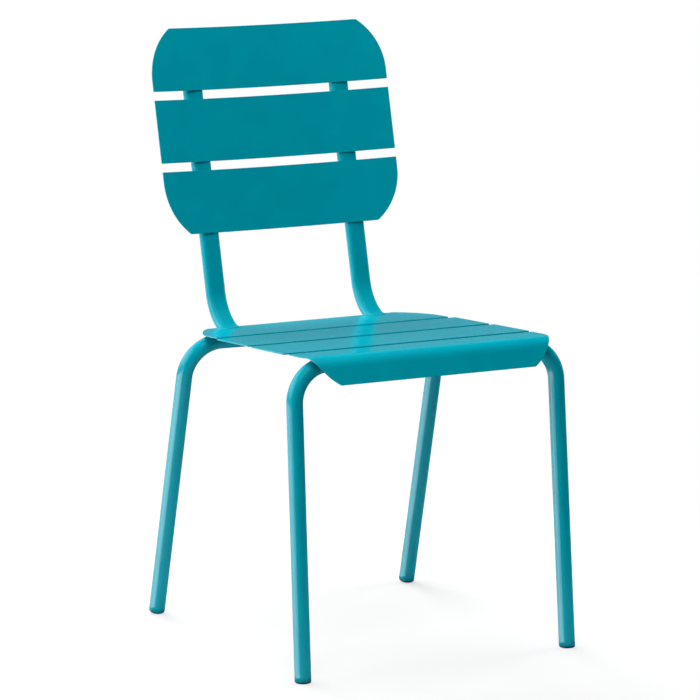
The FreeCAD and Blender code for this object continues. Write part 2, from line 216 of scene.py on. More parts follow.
class ChairFittings(bpy.types.PropertyGroup):
    """Sizes of the plastic glides and caps, and of the weld beads."""

    glide_flange: length("Glide flange", 2.5, "Height of the glide under the tube's end")
    plug_radius: length("Glide plug radius", 9.9, "Radius of the plug inside the leg")
    plug_length: length("Glide plug length", 18, "Length of the plug inside the leg")
    cap_flange: length("Cap flange", 1.5, "Height of the cap above the upright's end")
    cap_plug_length: length("Cap plug length", 14, "Length of the plug inside the upright")
    glide_rounding: length("Glide rounding", 2.2, "Radius on the glide's rim")
    moulded_rounding: length("Moulded rounding", 0.7, "Radius on the cap's rim")
    bead_radius: length("Bead radius", 2.6, "Radius of the weld beads between sheet and tube")
    joint_bead_radius: length("Joint bead radius", 2.2, "Radius of the beads between two tubes")
    bead_throat: length("Bead throat", 1.2, "Depth of a bead's middle line below the sheet")
    ripple_pitch: length("Ripple pitch", 2.2, "Distance between two ripples of a bead")
    ripple_depth: share("Ripple depth", 0.10, "Height of a ripple as a share of the bead")


class ChairFinish(bpy.types.PropertyGroup):
    """Colours and gloss of the finishes."""

    coat_colour: colour("Coat colour", "#008291", "Teal of the powder coat")
    coat_deep_colour: colour("Coat deep colour", "#007E8E", "Teal where the coat lies thicker")
    coat_roughness: share("Coat roughness", 0.20, "Roughness of the satin coat")
    coat_specular: share("Coat specular level", 0.5, "Strength of the coat's reflections")
    mottle_size: length("Mottle size", 45, "Size of the patches where the coat is thicker")
    peel_size: length("Orange peel size", 2.4, "Distance between two waves of the coat")
    peel_depth: length("Orange peel depth", 0.012, "Height of the waves of the coat")
    plastic_colour: colour("Plastic colour", "#0C0D0E", "Black of the glides and caps")
    plastic_roughness: share("Plastic roughness", 0.55, "Roughness of the moulded plastic")
    grain_size: length("Mould grain size", 0.8, "Distance between two grains of the moulding")
    grain_depth: length("Mould grain depth", 0.02, "Height of the grain of the moulding")


class ChairStudio(bpy.types.PropertyGroup):
    """Camera, floor and lights."""

    camera_place: bpy.props.FloatVectorProperty(
        name="Camera place", description="Where the camera stands", size=3,
        default=(-2.7931, -5.1565, 1.4360), subtype="TRANSLATION", unit="LENGTH")
    camera_turn: angle("Camera turn", 28.48, "How far the camera stands round from the front")
    camera_pitch: angle("Camera pitch", 9.97, "How far the camera looks down")
    camera_lens: bpy.props.FloatProperty(
        name="Camera lens", description="Focal length", default=213.3, unit="CAMERA")
    floor_radius: length("Floor radius", 1000, "Radius of the round floor, which fades out there")
    floor_white: share("Floor white", 0.535, "White that the camera sees on the floor in shadow")
    floor_shade: share("Floor shade", 0.20, "How much light and shadow the camera sees on it")
    floor_bounce: share("Floor bounce", 0.65, "How much light it throws back on the chair")
    backdrop_light: strength("Backdrop light", 0.13, "Brightness of the backdrop in the coat")
    board_light: strength("Board light", 4.2, "Brightness of the low bounce board on the left")
    board_end_light: strength("Board end light", 1.6, "Brightness of its far end")
    side_card_light: strength("Side card light", 1.4, "Brightness of the card above it")
    top_light: strength("Top light", 0.72, "Level of a white card that faces the top softbox")
    front_light: strength("Front light", 0.62, "The same for the front softbox")
    left_light: strength("Left light", 0.38, "The same for the left softbox")
    right_light: strength("Right light", 0.8, "The same for the right softbox")
    rear_left_light: strength("Rear left light", 0.6, "The same for the rear left softbox")
    rear_right_light: strength("Rear right light", 0.35, "The same for the rear right softbox")
    rear_high_light: strength("Rear high light", 1.1, "The same for the high rear softbox")


GROUPS = {"chair_sheet": ChairSheet, "chair_tube": ChairTube, "chair_fittings": ChairFittings,
          "chair_finish": ChairFinish, "chair_studio": ChairStudio}


# Planes of the seat and the back

def mount(name):
    """One of the part's mounts."""
    return next(item for item in frame["record"]["mounts"] if item["name"] == name)


def half_across(node):
    """Half of a node's size across the chair."""
    low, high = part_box(node)
    return (high.x - low.x) / 2.0


class SeatPlane:
    """The top of the seat: a place along it to the rear, a height above it, and X across."""

    def __init__(self):
        top = mount("seat_top")
        self.datum = np.array(top["pos_m"])
        self.up = np.array(top["axis"])
        self.rearward = np.cross(self.up, ACROSS)
        self.slope = math.asin(self.up[1])

    def points(self, x, along, up):
        """Datum plus X across, the place along the slope and the height square to it."""
        x, along, up = np.broadcast_arrays(x, along, up)
        return (self.datum + x[..., None] * ACROSS + along[..., None] * self.rearward
                + up[..., None] * self.up)

    def rear_edge(self, node):
        """Place of a slat's top rear edge, which is its rearmost line."""
        return (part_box(node)[1].y - self.datum[1]) / self.rearward[1]

    def front_edge(self, node, thickness):
        """Place of a flat slat's front edge: its lower corner is its foremost line."""
        return (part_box(node)[0].y - self.datum[1] + thickness * self.up[1]) / self.rearward[1]

    def place_of(self, point):
        """Place along the seat and height above it of a point."""
        offset = np.array(point) - self.datum
        return float(offset @ self.rearward), float(offset @ self.up)


class BackPlane:
    """The plane of the back: a place up its lean, forward of it, and X across."""

    def __init__(self, sheet):
        lean = sheet.back_lean
        low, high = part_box("back_slat_bottom")
        self.upward = np.array([0.0, math.sin(lean), math.cos(lean)])
        self.forward = np.array([0.0, -math.cos(lean), math.sin(lean)])
        rise = sheet.back_slat_height * self.upward[1]
        self.datum = np.array([0.0, high.y - rise + sheet.thickness * self.forward[1],
                               low.z + sheet.thickness * self.forward[2]])
        self.height = slat_low(len(BACK_SLATS) - 1, sheet) + sheet.back_slat_height

    def points(self, x, along, forward):
        """Datum plus X across, the place up the lean and the distance forward of it."""
        x, along, forward = np.broadcast_arrays(x, along, forward)
        return (self.datum + x[..., None] * ACROSS + along[..., None] * self.upward
                + forward[..., None] * self.forward)


def slat_low(number, sheet):
    """Place up the back of a back slat's lower edge, counted from the bottom slat."""
    return number * (sheet.back_slat_height + sheet.back_slat_gap)


# Surfaces and meshes

def unit(vector):
    """A vector at length one."""
    return vector / np.linalg.norm(vector)


def units(rows):
    """Each row at length one."""
    return rows / np.linalg.norm(rows, axis=1, keepdims=True)


def smooth_step(value):
    """Zero below nought, one above one, and 3 t² - 2 t³ between."""
    value = np.clip(value, 0.0, 1.0)
    return value * value * (3.0 - 2.0 * value)


def ring_shell(rings):
    """Vertices and quads of a closed shell, from a stack of rings of points.

    Quads join each ring to the next. Each end ring is closed by a strip of quads between its
    first half and its second half, taken in opposite order. Faces are turned outwards by the
    sign of the volume, which is the sum over faces of a triple product."""
    count, width = rings.shape[:2]
    vertices = rings.reshape(-1, 3)
    index = np.arange(count * width).reshape(count, width)
    around = np.hstack([index, index[:, :1]])
    sides = np.stack([around[:-1, :-1], around[:-1, 1:], around[1:, 1:], around[1:, :-1]], axis=-1)
    half = np.arange(width // 2 - 1)
    strip = np.stack([half, half + 1, width - 2 - half, width - 1 - half], axis=-1)
    quads = np.vstack([sides.reshape(-1, 4), index[0][strip[:, ::-1]], index[-1][strip]])
    first, second, third, fourth = (vertices[quads[:, column]] for column in range(4))
    triangles = np.cross(second - first, third - first) + np.cross(third - first, fourth - first)
    volume = np.sum(first * triangles)
    if volume < 0.0:
        quads = quads[:, ::-1]
    return vertices, quads


def add_piece(name, shells, finish, nodes):
    """Make one object from closed shells, which rides on the chair and stands for CAD nodes."""
    material, slot = finish
    vertices = np.vstack([shell[0] for shell in shells])
    starts = np.cumsum([0] + [len(shell[0]) for shell in shells[:-1]])
    quads = np.vstack([shell[1] + start for shell, start in zip(shells, starts)])
    mesh = bpy.data.meshes.new(name)
    mesh.from_pydata(vertices.tolist(), [], quads.tolist())
    mesh.polygons.foreach_set("use_smooth", np.ones(len(mesh.polygons), dtype=bool))
    mesh.materials.append(bpy.data.materials[material])
    mesh.update()
    piece = bpy.data.objects.new(name, mesh)
    bpy.context.scene.collection.objects.link(piece)
    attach(piece, "root")
    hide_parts(*nodes)
    return piece


def rounded_edge(half, rounding, steps=5):
    """Quarter circle over a sheet's edge, from its outermost line inwards.

    Gives the distance in from the edge, r (1 - cos a), and the height from the sheet's middle
    as a share of half its thickness, then one more line that holds the flat face flat."""
    turn = np.linspace(0.0, math.pi / 2.0, steps)
    inset = rounding * (1.0 - np.cos(turn))
    height = (half - rounding + rounding * np.sin(turn)) / half
    return np.append(inset, 2.0 * rounding), np.append(height, 1.0)


def sheet_shell(low, high, half_width, surface, thickness, rounding, rows=40, columns=64):
    """Closed sheet between two lines, with rounded edges all round.

    Rows run across the sheet, X = ± half_width(place) at their ends. The sheet's faces lie
    half its thickness each side of surface(x, place, offset), less where an edge rounds off."""
    half = thickness / 2.0
    inset, height = rounded_edge(half, rounding)
    margin = inset[-1]
    inner = np.linspace(low + margin, high - margin, rows)[1:-1]
    place = np.concatenate([low + inset, inner, high - inset[::-1]])[:, None]
    row_height = np.concatenate([height, np.ones(len(inner)), height[::-1]])[:, None]
    reach = half_width(place)
    middle = (reach - margin) * np.linspace(-1.0, 1.0, columns)[1:-1]
    x = np.hstack([inset - reach, middle, reach - inset[::-1]])
    column_height = np.concatenate([height, np.ones(middle.shape[1]), height[::-1]])
    offset = half * row_height * column_height
    front = surface(x, place, offset)
    rear = surface(x, place, -offset)
    return ring_shell(np.concatenate([front, rear[:, ::-1]], axis=1))


def clipped_half_width(half, distance, radius, inset):
    """Half width at a distance in from an end edge whose corner is clipped by an arc.

    The arc is tangent to the side and takes the inset off the edge. Its depth d is
    sqrt(R² - (R - inset)²), and the half width is half - R + sqrt(R² - (d - distance)²)."""
    depth = math.sqrt(radius ** 2 - (radius - inset) ** 2)
    short = np.clip(depth - distance, 0.0, None)
    return half - radius + np.sqrt(radius ** 2 - short ** 2)


def straight_run(start, finish, direction, last=False):
    """Places about a step apart on a straight line, the directions there and its length."""
    run = np.linalg.norm(finish - start)
    shares = np.linspace(0.0, 1.0, max(2, int(run / TUBE_STEP)), endpoint=last)[:, None]
    return start + shares * (finish - start), np.tile(direction, (len(shares), 1)), run


def round_bend(start, arriving, inwards, radius, turn, steps=28):
    """Places and directions round a bend: start + R (sin a · arriving + (1 - cos a) · inwards)."""
    angles = np.linspace(0.0, turn, steps, endpoint=False)[:, None]
    places = start + radius * (np.sin(angles) * arriving + (1.0 - np.cos(angles)) * inwards)
    return places, np.cos(angles) * arriving + np.sin(angles) * inwards


def bent_line(corners, radius):
    """Centre line through the corners, with a circular bend at each inner one.

    Gives the places, the unit directions and the bends' first and last distances along it."""
    pieces = []
    bends = []
    start = corners[0]
    travelled = 0.0
    for before, corner, after in zip(corners, corners[1:], corners[2:]):
        arriving = unit(corner - before)
        leaving = unit(after - corner)
        turn = math.acos(float(arriving @ leaving))
        cut = radius * math.tan(turn / 2.0)
        inwards = unit(leaving - arriving * math.cos(turn))
        bend_start = corner - arriving * cut
        *straight, run = straight_run(start, bend_start, arriving)
        pieces += [straight, round_bend(bend_start, arriving, inwards, radius, turn)]
        bends.append((travelled + run, travelled + run + radius * turn))
        travelled = bends[-1][1]
        start = corner + leaving * cut
    *straight, _ = straight_run(start, corners[-1], unit(corners[-1] - start), last=True)
    places, directions = zip(*pieces, straight)
    return np.vstack(places), np.vstack(directions), bends


def circle_section(count=56):
    """Unit circle, as sideways and depth shares, starting half a step from the side."""
    angles = (np.arange(count) + 0.5) * 2.0 * math.pi / count
    return np.cos(angles), np.sin(angles)


def oval_section(flat, radius, steps=14, flat_steps=6):
    """Flat oval: two half circles of the radius, joined by flats from -flat to flat."""
    angles = np.linspace(math.pi / (4.0 * steps), math.pi / 2.0, steps)
    side = flat + radius * np.cos(angles)
    depth = radius * np.sin(angles)
    level = np.linspace(flat, -flat, flat_steps)[1:-1]
    upper = np.concatenate([side, level, -side[::-1]])
    upper_depth = np.concatenate([depth, np.full(len(level), radius), depth[::-1]])
    return np.concatenate([upper, upper[::-1]]), np.concatenate([upper_depth, -upper_depth[::-1]])


def tube_rings(places, directions, across, side, depth):
    """Rings of a section carried along a plane curve.

    Each point is place + side · across + depth · (across × direction)."""
    normals = np.cross(across, directions)
    side, depth = np.broadcast_arrays(side, depth)
    return places[:, None] + side[..., None] * across + depth[..., None] * normals[:, None]


def distances(places):
    """Distance travelled along a line of places."""
    steps = np.linalg.norm(np.diff(places, axis=0), axis=1)
    return np.concatenate([[0.0], np.cumsum(steps)])


def even_steps(across, along, count):
    """The same line with its points at even distances."""
    travelled = distances(np.stack([across, along], axis=1))
    even = np.linspace(0.0, travelled[-1], count)
    return np.interp(even, travelled, across), np.interp(even, travelled, along)


# Places that several pieces share

def foot_place(end, name):
    """Middle of a foot on the floor, from its mount."""
    return np.array(mount(end + "_" + name + "_foot")["pos_m"])


def crossbar_middle(end, tube):
    """Middle of a crossbar's centre line: a radius in from the arch's top and inner lines."""
    low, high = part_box(end + "_leg_arch")
    y = high.y - tube.leg_radius if end == "front" else low.y + tube.leg_radius
    return np.array([0.0, y, high.z - tube.leg_radius])


def crossbar_place(end, seat, tube):
    """Place along the seat of a crossbar's centre line."""
    return seat.place_of(crossbar_middle(end, tube))[0]


def knee_place(end, name, tube):
    """Where the centre lines of a leg and its crossbar cross."""
    return crossbar_middle(end, tube) + SIDES[name] * ACROSS * tube.knee_spacing / 2.0


def rail_level(sheet, tube):
    """Height of the rails' centre line from the top of the seat."""
    return -(sheet.thickness + tube.oval_half_depth)


def upright_x():
    """Distance of an upright's middle from the chair's middle plane."""
    low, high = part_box("back_upright_right")
    return (low.x + high.x) / 2.0


def upright_forward(sheet, tube):
    """How far the upright's centre line lies forward, with its inner edge against the slats."""
    touch = upright_x() - tube.oval_flat
    distance = sheet.back_radius + sheet.thickness + tube.oval_half_depth
    return sheet.back_radius - math.sqrt(distance ** 2 - touch ** 2)


def upright_root(seat, back, sheet, tube):
    """Place along the seat where the centre lines of the rail and the upright cross."""
    along, up = seat.place_of(back.points(0.0, 0.0, upright_forward(sheet, tube)))
    lean = math.pi / 2.0 - sheet.back_lean + seat.slope
    return along + (rail_level(sheet, tube) - up) / math.tan(lean)


def upright_top(back, sheet, tube):
    """Place up the back of an upright's top end, from the height of its rear edge."""
    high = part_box("back_upright_right")[1].z
    forward = upright_forward(sheet, tube) + tube.oval_half_depth
    return (high - back.datum[2] - forward * back.forward[2]) / back.upward[2]


# Seat slats

def flat_slat(node, seat, sheet):
    """Flat slat, its top in the seat's plane. The rear one has its rear corners clipped."""
    half = half_across(node)
    rear = seat.rear_edge(node)

    def half_width(place):
        if node != "seat_slat_rear":
            return np.full_like(place, half)
        return clipped_half_width(half, rear - place, sheet.rear_corner_radius,
                                  sheet.rear_corner_inset)

    def surface(x, place, offset):
        return seat.points(x, place, offset - sheet.seat_thickness / 2.0)

    return sheet_shell(seat.front_edge(node, sheet.thickness), rear, half_width, surface,
                       sheet.seat_thickness, sheet.rounding)


def front_slat(seat, sheet):
    """Front slat: flat, then bent down by an arc, then straight.

    At a distance s from its rear edge the turn is a = clip((s - flat) / r, 0, bend), and the
    middle of the sheet is the flat end + r (-sin a, cos a - 1) + rest (-cos a, -sin a)."""
    half = half_across("seat_slat_front")
    rear = seat.rear_edge("seat_slat_front")
    middle_radius = sheet.apron_radius - sheet.thickness / 2.0
    bend_end = sheet.flat_depth + middle_radius * sheet.apron_angle
    total = bend_end + sheet.apron_straight
    lean = sheet.apron_angle / 2.0

    def profile(distance, offset):
        turn = np.clip((distance - sheet.flat_depth) / middle_radius, 0.0, sheet.apron_angle)
        rest = np.clip(distance - bend_end, 0.0, None)
        along = (rear - np.minimum(distance, sheet.flat_depth)
                 - (middle_radius + offset) * np.sin(turn) - rest * np.cos(turn))
        up = (-sheet.thickness / 2.0 + offset * np.cos(turn)
              + middle_radius * (np.cos(turn) - 1.0) - rest * np.sin(turn))
        return along, up

    def leaning_place(distance):
        along, up = profile(distance, sheet.thickness / 2.0)
        return along * math.cos(lean) + up * math.sin(lean)

    def half_width(distance):
        from_edge = leaning_place(distance) - leaning_place(np.array(total))
        return clipped_half_width(half, from_edge, sheet.apron_corner_radius,
                                  sheet.apron_corner_inset)

    def surface(x, distance, offset):
        along, up = profile(distance, offset)
        return seat.points(x, along, up)

    return sheet_shell(0.0, total, half_width, surface, sheet.thickness, sheet.rounding, rows=72)


class CHAIR_OT_seat_slats(bpy.types.Operator):
    """Make the four seat slats"""

    bl_idname = "chair.seat_slats"
    bl_label = "Seat slats"

    def execute(self, context):
        sheet = context.scene.chair_sheet
        seat = SeatPlane()
        shells = {node: flat_slat(node, seat, sheet) for node in FLAT_SLATS}
        shells["seat_slat_front"] = front_slat(seat, sheet)
        for node, shell in shells.items():
            add_piece(node + "_sheet", [shell], COAT, [node])
        return {"FINISHED"}


# Back slats

def back_slat(low, back, sheet):
    """Slat bent round the sitter: X = R sin t across and R - R cos t forward of its middle."""
    half = half_across("back_slat_middle")
    middle_radius = sheet.back_radius + sheet.thickness / 2.0

    def half_width(place):
        from_edge = np.minimum(place, back.height - place)
        return clipped_half_width(half, from_edge, sheet.back_corner_radius,
                                  sheet.back_corner_inset)

    def surface(x, place, offset):
        turn = np.arcsin(x / middle_radius)
        radius = middle_radius - offset
        return back.points(radius * np.sin(turn), place,
                           sheet.back_radius - radius * np.cos(turn))

    return sheet_shell(low, low + sheet.back_slat_height, half_width, surface, sheet.thickness,
                       sheet.rounding)


class CHAIR_OT_back_slats(bpy.types.Operator):
    """Make the three back slats"""

    bl_idname = "chair.back_slats"
    bl_label = "Back slats"

    def execute(self, context):
        sheet = context.scene.chair_sheet
        back = BackPlane(sheet)
        for number, node in enumerate(BACK_SLATS):
            shell = back_slat(slat_low(number, sheet), back, sheet)
            add_piece(node + "_sheet", [shell], COAT, [node])
        return {"FINISHED"}


# Leg arches

def arch_corners(end, tube, fittings):
    """Corners of an arch's centre line: the lower ends of its legs and the knees between."""
    radii, heights = glide_profile(tube, fittings)
    knees = [knee_place(end, name, tube) for name in SIDES]
    feet = []
    for name, knee in zip(SIDES, knees):
        foot = foot_place(end, name)
        direction = unit(knee - foot)
        start = leg_lift(end, direction, radii, heights) + fittings.glide_flange
        feet.append(foot + start * direction)
    return [feet[0], *knees, feet[1]]


def bend_squeeze(places, bend, tube):
    """How flat an arch is at each place: it grows over a bend and fades over a run past it."""
    travelled = distances(places)
    from_end = np.minimum(travelled, travelled[-1] - travelled)
    bend_start, bend_end = bend
    weight = smooth_step((from_end - bend_start) / (bend_end - bend_start))
    weight = weight * (1.0 - smooth_step((from_end - bend_end) / tube.flattened_run))
    return (tube.bend_flattening * weight)[:, None]


def leg_arch(end, tube, fittings):
    """Bent tube of one arch, flattened where the bends have squeezed it.

    With the squeeze q, the depth in the bend's plane is r (1 - q), the width is r (1 + q / 2),
    and the section moves outwards by r q, so the outside of the bend keeps its line."""
    corners = arch_corners(end, tube, fittings)
    places, directions, bends = bent_line(corners, tube.leg_bend_radius)
    squeeze = bend_squeeze(places, bends[0], tube)
    square = unit(np.cross(corners[1] - corners[0], ACROSS))
    side, depth = circle_section()
    outwards = np.sign(np.cross(square, directions[0]) @ ACROSS) * -1.0
    depth = depth * (1.0 - squeeze) + outwards * squeeze
    side = side * (1.0 + squeeze / 2.0)
    rings = tube_rings(places, directions, square, tube.leg_radius * side, tube.leg_radius * depth)
    if end in LEVEL_FEET:
        for number in (0, -1):
            rings[number] = levelled(rings[number], places[number], directions[number])
    return ring_shell(rings)


class CHAIR_OT_leg_arches(bpy.types.Operator):
    """Make the front and rear leg arches"""

    bl_idname = "chair.leg_arches"
    bl_label = "Leg arches"

    def execute(self, context):
        tube = context.scene.chair_tube
        fittings = context.scene.chair_fittings
        for end in ENDS:
            node = end + "_leg_arch"
            add_piece(node + "_tube", [leg_arch(end, tube, fittings)], COAT, [node])
        return {"FINISHED"}


# Rails and uprights

def oval_tube(corners, tube, radius):
    """Flat oval tube through the corners, its long side across the chair."""
    places, directions, _ = bent_line(corners, radius)
    side, depth = oval_section(tube.oval_flat, tube.oval_half_depth)
    return ring_shell(tube_rings(places, directions, ACROSS, side, depth))


def rail_line(x, seat, sheet, tube):
    """Ends and middle of a rail, from crossbar to crossbar, at the rail's own level."""
    level = rail_level(sheet, tube)
    places = [crossbar_place(end, seat, tube) for end in ENDS]
    middle = sum(places) / 2.0
    return [seat.points(x, place, level) for place in (places[0], middle, places[1])]


def upright_line(x, seat, back, sheet, tube):
    """Corners of an upright: the rear crossbar, its root under the seat and its top end."""
    level = rail_level(sheet, tube)
    return [seat.points(x, crossbar_place("rear", seat, tube), level),
            seat.points(x, upright_root(seat, back, sheet, tube), level),
            back.points(x, upright_top(back, sheet, tube), upright_forward(sheet, tube))]


class CHAIR_OT_rails_and_uprights(bpy.types.Operator):
    """Make the two seat rails and the two back uprights"""

    bl_idname = "chair.rails_and_uprights"
    bl_label = "Rails and uprights"

    def execute(self, context):
        sheet = context.scene.chair_sheet
        tube = context.scene.chair_tube
        seat = SeatPlane()
        back = BackPlane(sheet)
        for name, side in SIDES.items():
            x = side * upright_x()
            rail = rail_line(x, seat, sheet, tube)
            upright = upright_line(x, seat, back, sheet, tube)
            for node, corners, radius in (("seat_rail_" + name, rail, 0.0),
                                          ("back_upright_" + name, upright,
                                           tube.upright_bend_radius)):
                add_piece(node + "_tube", [oval_tube(corners, tube, radius)], COAT, [node])
        return {"FINISHED"}


# Glides and caps

def moulded_profile(outer, plug, flange, plug_length, rounding):
    """Radii and heights of a plug with a flange, from the flange's flat face inwards."""
    turn = np.linspace(0.0, math.pi / 2.0, 6)
    face = outer - rounding * (1.0 - np.sin(turn))
    rise = rounding * (1.0 - np.cos(turn))
    tip = flange + plug_length
    radii = np.concatenate([[face[0] - rounding], face, [outer, plug, plug, plug - rounding]])
    heights = np.concatenate([[0.0], rise, [flange, flange, tip - rounding, tip]])
    return radii, heights


def glide_profile(tube, fittings):
    """Radii and heights of a foot glide."""
    return moulded_profile(tube.leg_radius, fittings.plug_radius, fittings.glide_flange,
                           fittings.plug_length, fittings.glide_rounding)


def leg_lift(end, direction, radii, heights):
    """How far up a leg's line a stack of circles must start to rest on the floor.

    A circle of radius r, h up the line, dips r sqrt(1 - dz²) below its middle at h dz, unless
    it is cut level."""
    if end in LEVEL_FEET:
        return 0.0
    dip = np.array(radii) * math.sqrt(1.0 - direction[2] ** 2) / direction[2]
    return np.max(dip - np.array(heights))


def levelled(ring, middle, direction):
    """Slide a ring's points along a leg's line until they are level with its middle."""
    rise = (ring - middle)[:, 2:] / direction[2]
    return ring - rise * direction


def foot_glide(end, name, tube, fittings):
    """Glide in a leg's end: circles along the leg's line, level or square to the leg."""
    foot = foot_place(end, name)
    direction = unit(knee_place(end, name, tube) - foot)
    radii, heights = glide_profile(tube, fittings)
    start = leg_lift(end, direction, radii, heights)
    across = unit(np.cross(direction, [0.0, 1.0, 0.0]))
    square = np.cross(across, direction)
    side, depth = circle_section()
    circle = side[:, None] * across + depth[:, None] * square
    rings = []
    for radius, height in zip(radii, heights):
        middle = foot + (start + height) * direction
        ring = middle + radius * circle
        rings.append(levelled(ring, middle, direction) if end in LEVEL_FEET else ring)
    return ring_shell(np.array(rings))


def upright_cap(x, back, sheet, tube, fittings):
    """Cap on an upright: flat ovals square to the upright, the plug inside its end."""
    radii, heights = moulded_profile(tube.oval_half_depth, tube.oval_half_depth - sheet.thickness,
                                     fittings.cap_flange, fittings.cap_plug_length,
                                     fittings.moulded_rounding)
    top = upright_top(back, sheet, tube) + fittings.cap_flange
    forward = upright_forward(sheet, tube)
    rings = []
    for radius, height in zip(radii, heights):
        side, depth = oval_section(tube.oval_flat, radius)
        rings.append(back.points(x + side, top - height, forward + depth))
    return ring_shell(np.array(rings))


class CHAIR_OT_glides_and_caps(bpy.types.Operator):
    """Make the four foot glides and the two caps of the uprights"""

    bl_idname = "chair.glides_and_caps"
    bl_label = "Glides and caps"

    def execute(self, context):
        sheet = context.scene.chair_sheet
        tube = context.scene.chair_tube
        fittings = context.scene.chair_fittings
        back = BackPlane(sheet)
        for name, side in SIDES.items():
            shells = {end + "_glide_" + name: foot_glide(end, name, tube, fittings) for end in ENDS}
            shells["upright_cap_" + name] = upright_cap(side * upright_x(), back, sheet, tube,
                                                        fittings)
            for node, shell in shells.items():
                add_piece(node + "_moulding", [shell], PLASTIC, [node])
        return {"FINISHED"}


# Weld beads

def bead_shell(line, reference, radius, fittings):
    """Weld bead along a line, with ripples and ends that close.

    The radius at a distance s is r (1 + ripple cos(2 pi s / pitch)) sqrt(1 - e²), where e runs
    from nought to nearly one over the last two radii at each end."""
    travelled = distances(line)
    turns = 2.0 * math.pi * travelled / fittings.ripple_pitch
    ripple = 1.0 + fittings.ripple_depth * np.cos(turns)
    from_end = np.minimum(travelled, travelled[-1] - travelled)
    close = np.clip(1.0 - from_end / (2.0 * radius), 0.0, BEAD_END)
    sizes = radius * ripple * np.sqrt(1.0 - close ** 2)
    directions = units(np.gradient(line, axis=0))
    sideways = units(np.cross(directions, reference))
    outwards = np.cross(sideways, directions)
    cosine, sine = circle_section(BEAD_CORNERS)
    rings = (line[:, None] + sizes[:, None, None]
             * (cosine[:, None] * sideways[:, None] + sine[:, None] * outwards[:, None]))
    return ring_shell(rings)


def straight_bead(line, bead_length, reference, fittings):
    """Bead on a straight line, half its length each way, sampled finely enough for ripples."""
    start = line(-bead_length / 2.0)
    finish = line(bead_length / 2.0)
    run = np.linalg.norm(finish - start)
    count = int(run / (fittings.ripple_pitch / STEPS_PER_RIPPLE))
    steps = np.linspace(0.0, 1.0, count)[:, None]
    return bead_shell(start + steps * (finish - start), reference, fittings.bead_radius, fittings)


def bead_level(sheet, fittings):
    """Height of a bead's middle line from the top of the seat."""
    return -(sheet.thickness + fittings.bead_throat)


def wedge_place(radius, fittings):
    """How far out from a tube's line of touch its gap to the sheet is two throats wide."""
    return 2.0 * math.sqrt(radius * fittings.bead_throat)


def rail_beads(seat, sheet, tube, fittings):
    """Beads beside the rails under the three flat slats."""
    level = bead_level(sheet, fittings)
    out = tube.oval_flat + wedge_place(tube.oval_half_depth, fittings)
    bar = crossbar_place("rear", seat, tube) - tube.leg_radius
    shells = []
    for node in FLAT_SLATS:
        low = seat.front_edge(node, sheet.thickness)
        middle = (low + min(seat.rear_edge(node), bar)) / 2.0
        for side, edge in BEAD_SIDES:
            x = side * upright_x() + edge * out
            shells.append(straight_bead(lambda way: seat.points(x, middle + way, level),
                                        RAIL_BEAD, seat.up, fittings))
    return shells


def crossbar_beads(seat, sheet, tube, fittings):
    """Beads each side of the crossbars, under the slat on them."""
    level = bead_level(sheet, fittings)
    out = wedge_place(tube.leg_radius, fittings)
    shells = []
    for end in ENDS:
        bar = crossbar_place(end, seat, tube)
        for side, edge in BEAD_SIDES:
            middle = side * upright_x() / 2.0
            place = bar + edge * out
            shells.append(straight_bead(lambda way: seat.points(middle + way, place, level),
                                        BAR_BEAD, seat.up, fittings))
    return shells


def back_bead_place(edge, sheet, tube, fittings):
    """Across and forward place of a bead in the wedge between an upright and the slats.

    It is where two circles cross: one round the plan centre of the slats, one round the centre
    of the oval tube's rounded side, each a throat further out than the metal."""
    hub_x = upright_x() + edge * tube.oval_flat
    hub_z = upright_forward(sheet, tube) - sheet.back_radius
    far = sheet.back_radius + sheet.thickness + fittings.bead_throat
    near = tube.oval_half_depth + fittings.bead_throat
    distance = math.hypot(hub_x, hub_z)
    along = (distance ** 2 + far ** 2 - near ** 2) / (2.0 * distance)
    across = math.sqrt(far ** 2 - along ** 2)
    x = (hub_x * along - edge * hub_z * across) / distance
    z = (hub_z * along + edge * hub_x * across) / distance
    return x, z + sheet.back_radius


def back_beads(back, sheet, tube, fittings):
    """Beads each side of the uprights, behind each back slat."""
    shells = []
    for number in range(len(BACK_SLATS)):
        middle = slat_low(number, sheet) + sheet.back_slat_height / 2.0
        for side, edge in BEAD_SIDES:
            x, forward = back_bead_place(edge, sheet, tube, fittings)
            shells.append(straight_bead(lambda way: back.points(side * x, middle + way, forward),
                                        BACK_BEAD, back.forward, fittings))
    return shells


def joint_beads(seat, sheet, tube, fittings):
    """Beads round the underside of each oval tube where it meets a crossbar.

    Round the lower half of the oval, the seam lies sqrt(r² - h²) from the crossbar's centre
    line, where h is the height above that line. The oval's flat is crossed in the middle third
    of the turn's cosine."""
    turn = np.linspace(0.0, math.pi, 60)
    across = np.sign(np.cos(turn)) * tube.oval_flat * np.minimum(1.0, 3.0 * np.abs(np.cos(turn)))
    across = across + tube.oval_half_depth * np.cos(turn)
    drop = -tube.oval_half_depth * np.sin(turn)
    height = drop + tube.leg_radius - tube.oval_half_depth
    level = rail_level(sheet, tube) + drop
    shells = []
    for end, ways in JOINT_WAYS.items():
        for way in ways:
            seam = way * np.sqrt(tube.leg_radius ** 2 - height ** 2) + crossbar_place(end, seat, tube)
            for side in SIDES.values():
                line = seat.points(side * upright_x() + across, seam, level)
                shells.append(bead_shell(line, seat.rearward, fittings.joint_bead_radius, fittings))
    return shells


